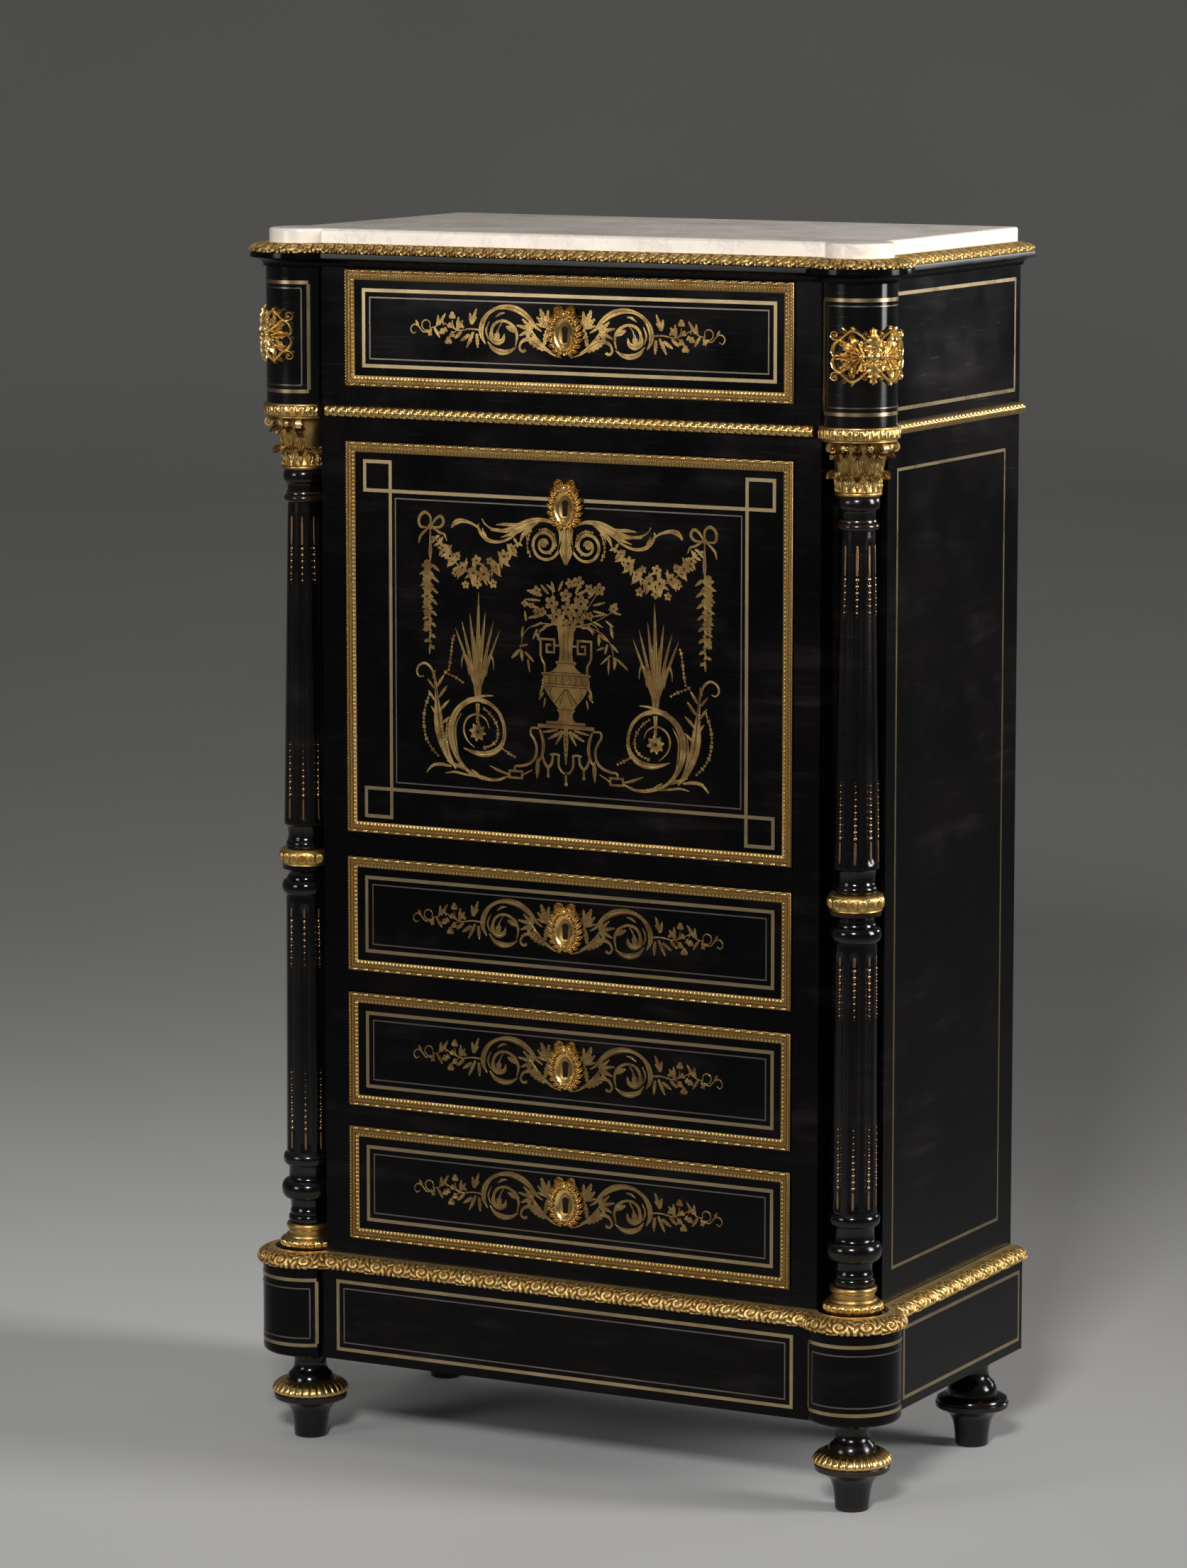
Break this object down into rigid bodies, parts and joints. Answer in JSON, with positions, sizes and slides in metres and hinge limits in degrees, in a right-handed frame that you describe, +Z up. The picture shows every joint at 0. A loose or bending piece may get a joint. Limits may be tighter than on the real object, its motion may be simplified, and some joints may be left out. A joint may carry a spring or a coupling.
{
  "type": "secretaire",
  "caption": "Ebonised fall-front secretaire with gilt-bronze mounts, corner columns, marble top, drawers above and below the fall, on a plinth with turned feet.",
  "frame": {"origin": "centre of the bounding box on the floor", "axes": "+Z up, -Y towards the front with the fall and drawers, X along the width"},
  "size_m": [0.8176, 0.4446, 1.397],
  "materials": {
    "ebonised_wood": "black polish",
    "inner_wood": "waxed",
    "gilt_bronze": "gilt, chased",
    "marble": "polished marble, opaque"
  },
  "bodies": {
    "carcass": {"back_panel": "ebonised_wood", "board_bottom": "ebonised_wood", "board_frieze": "ebonised_wood", "board_lower": "ebonised_wood", "board_middle": "ebonised_wood", "board_upper": "ebonised_wood", "column_base_left": "gilt_bronze", "column_base_right": "gilt_bronze", "column_capital_left": "gilt_bronze", "column_capital_right": "gilt_bronze", "column_collar_left": "gilt_bronze", "column_collar_right": "gilt_bronze", "column_lower_left": "ebonised_wood", "column_lower_right": "ebonised_wood", "column_upper_left": "ebonised_wood", "column_upper_right": "ebonised_wood", "corner_post_left": "ebonised_wood", "corner_post_right": "ebonised_wood", "cornice": "ebonised_wood", "foot_front_left": "ebonised_wood", "foot_front_right": "ebonised_wood", "foot_rear_left": "ebonised_wood", "foot_rear_right": "ebonised_wood", "foot_ring_left": "gilt_bronze", "foot_ring_right": "gilt_bronze", "frieze_drum_left": "ebonised_wood", "frieze_drum_right": "ebonised_wood", "frieze_mount_left": "gilt_bronze", "frieze_mount_right": "gilt_bronze", "frieze_torus_front": "gilt_bronze", "frieze_torus_left": "gilt_bronze", "frieze_torus_right": "gilt_bronze", "gallery_band": "gilt_bronze", "interior_case": "inner_wood", "marble_top": "marble", "plinth_band": "gilt_bronze", "plinth_drum_left": "ebonised_wood", "plinth_drum_right": "ebonised_wood", "plinth_frame": "ebonised_wood", "side_left": "ebonised_wood", "side_right": "ebonised_wood"},
    "drawer_lower": {"drawer_lower": "ebonised_wood", "drawer_frame_lower": "gilt_bronze", "drawer_plate_lower": "gilt_bronze"},
    "drawer_middle": {"drawer_middle": "ebonised_wood", "drawer_frame_middle": "gilt_bronze", "drawer_plate_middle": "gilt_bronze"},
    "drawer_upper": {"drawer_upper": "ebonised_wood", "drawer_frame_upper": "gilt_bronze", "drawer_plate_upper": "gilt_bronze"},
    "drawer_frieze": {"drawer_frieze": "ebonised_wood", "drawer_frame_frieze": "gilt_bronze", "drawer_plate_frieze": "gilt_bronze"},
    "fall": {"fall_board": "ebonised_wood", "fall_frame": "gilt_bronze", "fall_plate": "gilt_bronze"}
  },
  "joints": [
    {"name": "drawer_lower_slide", "type": "slide", "parent": "carcass", "child": "drawer_lower", "axis": [0, -1, 0], "range_m": [0, 0.28]},
    {"name": "drawer_middle_slide", "type": "slide", "parent": "carcass", "child": "drawer_middle", "axis": [0, -1, 0], "range_m": [0, 0.28]},
    {"name": "drawer_upper_slide", "type": "slide", "parent": "carcass", "child": "drawer_upper", "axis": [0, -1, 0], "range_m": [0, 0.28]},
    {"name": "drawer_frieze_slide", "type": "slide", "parent": "carcass", "child": "drawer_frieze", "axis": [0, -1, 0], "range_m": [0, 0.28]},
    {"name": "fall_hinge", "type": "hinge", "parent": "carcass", "child": "fall", "pos_m": [0, -0.18072, 0.71], "axis": [1, 0, 0], "range_deg": [0, 90]}
  ]
}
